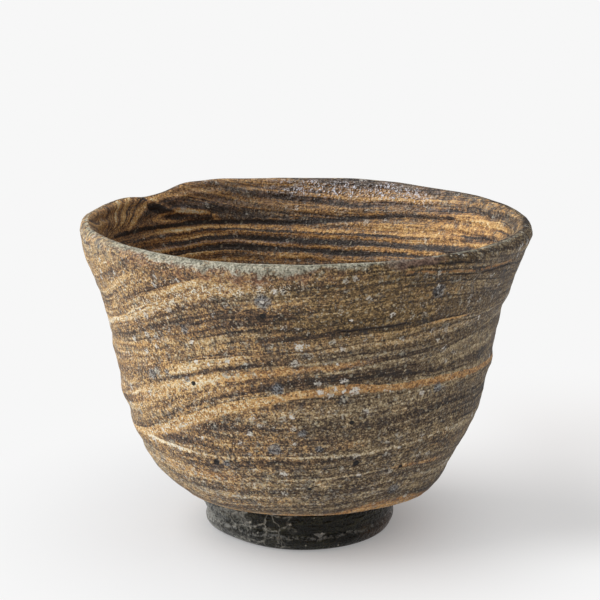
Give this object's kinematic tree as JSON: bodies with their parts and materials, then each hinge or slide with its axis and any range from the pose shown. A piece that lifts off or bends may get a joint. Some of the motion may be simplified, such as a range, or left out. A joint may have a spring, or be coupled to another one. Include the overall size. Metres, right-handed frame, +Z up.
{
  "type": "sake cup",
  "caption": "Small round sake cup with a steep, slightly flared wall of marbled clay, an open mouth, a rounded uneven lip and a short dark foot ring.",
  "frame": {"origin": "on the table, under the middle of the cup's bounding box, which is the middle of the mouth", "axes": "+Z up out of the mouth; -Y is the side seen in front in the picture, +X its right"},
  "size_m": [0.0758, 0.0758, 0.0544],
  "materials": {
    "marbled_stoneware": "unglazed kneaded dark and tan clay, gritty, matte",
    "dark_foot": "dark clay with a thin crackled ash glaze, half gloss",
    "luting_slip": "dried clay slip, matte"
  },
  "bodies": {
    "root": {"bowl": "marbled_stoneware", "foot_ring": "dark_foot", "luting_slip": "luting_slip"}
  },
  "joints": []
}
